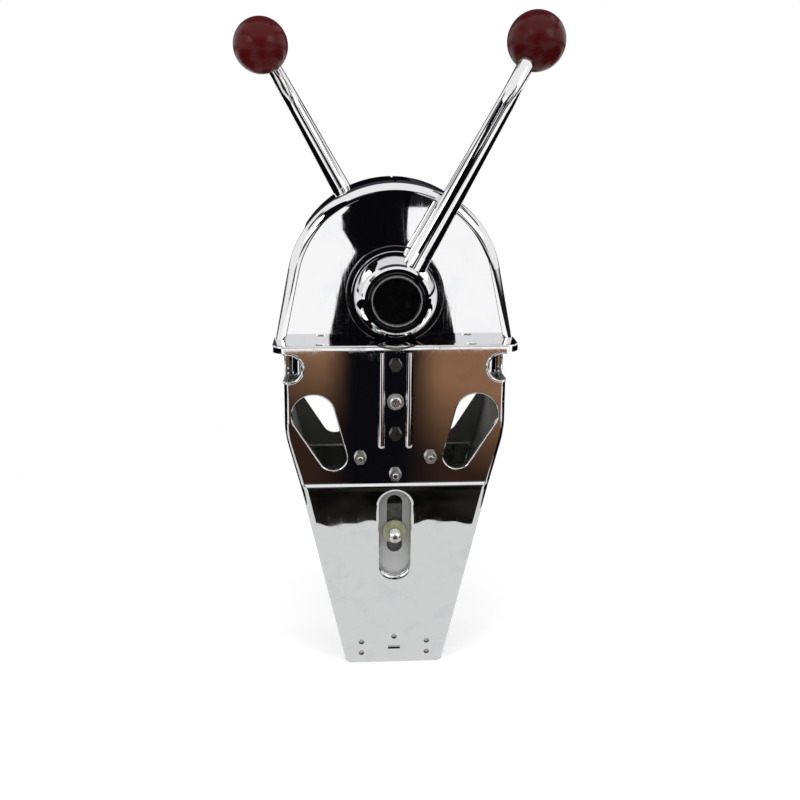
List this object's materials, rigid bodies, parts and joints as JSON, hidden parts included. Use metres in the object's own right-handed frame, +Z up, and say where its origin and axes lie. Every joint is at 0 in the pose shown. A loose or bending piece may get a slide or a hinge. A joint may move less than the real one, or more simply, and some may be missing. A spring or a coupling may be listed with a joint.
{
  "type": "boat throttle control lever",
  "caption": "Top-mount engine control with a ball-knobbed lever on each side of a chromed dome, over a tapered frame in which racks work the shift and throttle cables.",
  "frame": {"origin": "centre of the flange's underside, in the deck plane", "axes": "+Z up through the dome, -Y out of the front lever's face, +X to the right seen from the front"},
  "size_m": [0.22, 0.1152, 0.4737],
  "materials": {
    "dome_chrome": "bright chrome plate on the dome and its flange, mirror polished",
    "shell_chrome": "bright chrome plate on the pressed frame shells",
    "lever_chrome": "bright chrome plate on the hand-finished lever casting",
    "knob_phenolic": "dark red moulded phenolic, buffed to a gloss",
    "cap_black": "gloss black moulded cap",
    "cast_aluminium": "as-cast, with machined bosses",
    "ground_steel": "ground and greased",
    "gear_steel": "stamped and hobbed, light oil film",
    "zinc_steel": "bright zinc plate",
    "screw_steel": "stainless, polished heads",
    "spring_steel": "drawn wire",
    "bush_bronze": "turned oil-filled bronze",
    "black_acetal": "moulded, slightly waxy",
    "nylon": "natural nylon, a little translucent, yellowed"
  },
  "bodies": {
    "frame": {"housing": "dome_chrome", "centre_plate": "cast_aluminium", "tail_bushes": "bush_bronze", "detent_balls": "ground_steel", "detent_springs": "spring_steel", "detent_plugs": "zinc_steel", "frame_screws": "screw_steel", "guide_screws": "screw_steel", "guide_nuts": "zinc_steel", "friction_screws": "screw_steel", "friction_washers": "zinc_steel", "friction_pads": "black_acetal", "centre_screws": "screw_steel", "tie_bolts": "screw_steel", "tie_nuts": "zinc_steel", "tie_spacers": "zinc_steel", "front_frame_shell": "shell_chrome", "front_shaft_bush": "bush_bronze", "front_guide_block": "black_acetal", "rear_frame_shell": "shell_chrome", "rear_shaft_bush": "bush_bronze", "rear_guide_block": "black_acetal"},
    "front_lever": {"front_lever": "lever_chrome", "front_knob": "knob_phenolic", "front_hub_cap": "cap_black", "front_shaft": "ground_steel", "front_clutch_pin": "ground_steel", "front_hub_washer": "zinc_steel", "front_hub_screw": "screw_steel"},
    "front_drive": {"front_throttle_pinion": "gear_steel", "front_shift_pinion": "gear_steel"},
    "front_throttle_slide": {"front_throttle_rack": "gear_steel", "front_slide_shoe": "black_acetal", "front_slide_washer": "nylon", "front_slide_screw": "screw_steel", "front_slide_nut": "zinc_steel"},
    "front_shift_slide": {"front_shift_rack": "gear_steel"},
    "rear_lever": {"rear_lever": "lever_chrome", "rear_knob": "knob_phenolic", "rear_hub_cap": "cap_black", "rear_shaft": "ground_steel", "rear_clutch_pin": "ground_steel", "rear_hub_washer": "zinc_steel", "rear_hub_screw": "screw_steel"},
    "rear_drive": {"rear_throttle_pinion": "gear_steel", "rear_shift_pinion": "gear_steel"},
    "rear_throttle_slide": {"rear_throttle_rack": "gear_steel", "rear_slide_shoe": "black_acetal", "rear_slide_washer": "nylon", "rear_slide_screw": "screw_steel", "rear_slide_nut": "zinc_steel"},
    "rear_shift_slide": {"rear_shift_rack": "gear_steel"}
  },
  "joints": [
    {"name": "front_lever_swing", "type": "hinge", "parent": "frame", "child": "front_drive", "pos_m": [0, 0, 0.0365], "axis": [0, 1, 0], "range_deg": [-109, 51]},
    {"name": "front_hub_pull", "type": "slide", "parent": "front_drive", "child": "front_lever", "axis": [0, -1, 0], "range_m": [0, 0.005]},
    {"name": "front_throttle_travel", "type": "slide", "parent": "frame", "child": "front_throttle_slide", "axis": [0, 0, 1], "range_m": [-0.01072, 0.02287]},
    {"name": "front_shift_travel", "type": "slide", "parent": "frame", "child": "front_shift_slide", "axis": [0, 0, 1], "range_m": [-0.02287, 0.01072]},
    {"name": "rear_lever_swing", "type": "hinge", "parent": "frame", "child": "rear_drive", "pos_m": [0, 0, 0.0365], "axis": [0, -1, 0], "range_deg": [-109, 51]},
    {"name": "rear_hub_pull", "type": "slide", "parent": "rear_drive", "child": "rear_lever", "axis": [0, 1, 0], "range_m": [0, 0.005]},
    {"name": "rear_throttle_travel", "type": "slide", "parent": "frame", "child": "rear_throttle_slide", "axis": [0, 0, 1], "range_m": [-0.01072, 0.02287]},
    {"name": "rear_shift_travel", "type": "slide", "parent": "frame", "child": "rear_shift_slide", "axis": [0, 0, 1], "range_m": [-0.02287, 0.01072]}
  ],
  "couplings": [
    {"joint": "front_throttle_travel", "follows": "front_lever_swing", "m_per_rad": -0.012},
    {"joint": "front_shift_travel", "follows": "front_lever_swing", "m_per_rad": 0.012},
    {"joint": "rear_throttle_travel", "follows": "rear_lever_swing", "m_per_rad": -0.012},
    {"joint": "rear_shift_travel", "follows": "rear_lever_swing", "m_per_rad": 0.012}
  ]
}
